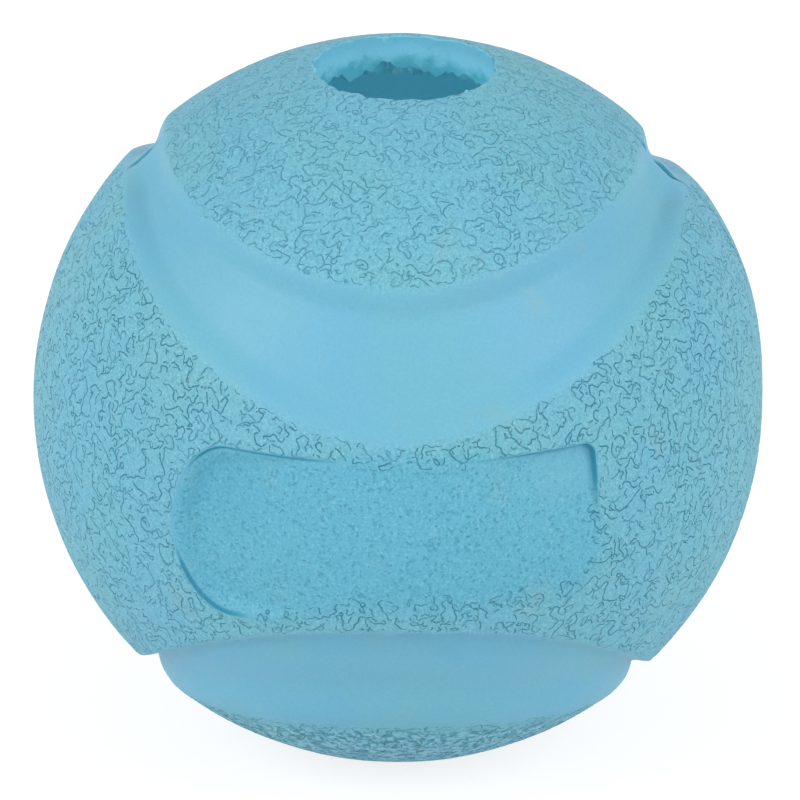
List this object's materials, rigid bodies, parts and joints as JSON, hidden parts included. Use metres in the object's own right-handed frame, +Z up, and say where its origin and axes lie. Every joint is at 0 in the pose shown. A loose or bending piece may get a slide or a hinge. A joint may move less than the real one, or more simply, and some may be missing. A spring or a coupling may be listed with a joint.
{
  "type": "rubber fetch ball",
  "caption": "Hollow rubber fetch ball with a round mouth hole, curved grooves above and below a broad belly band, and a shallow recess in the front.",
  "frame": {"origin": "centre of the ball", "axes": "+Z up along the axis through both holes; -Y towards the front, which has the recess; +X to the right seen from the front"},
  "size_m": [0.075, 0.0747, 0.0723],
  "materials": {
    "rubber": "matt aqua blue rubber with a fine crackled grain on the caps and the band, smooth in the grooves",
    "cement": "cured rubber cement, matt"
  },
  "bodies": {
    "root": {"front_shell": "rubber", "rear_shell": "rubber", "seam_cement_left": "cement", "seam_cement_right": "cement"}
  },
  "joints": []
}
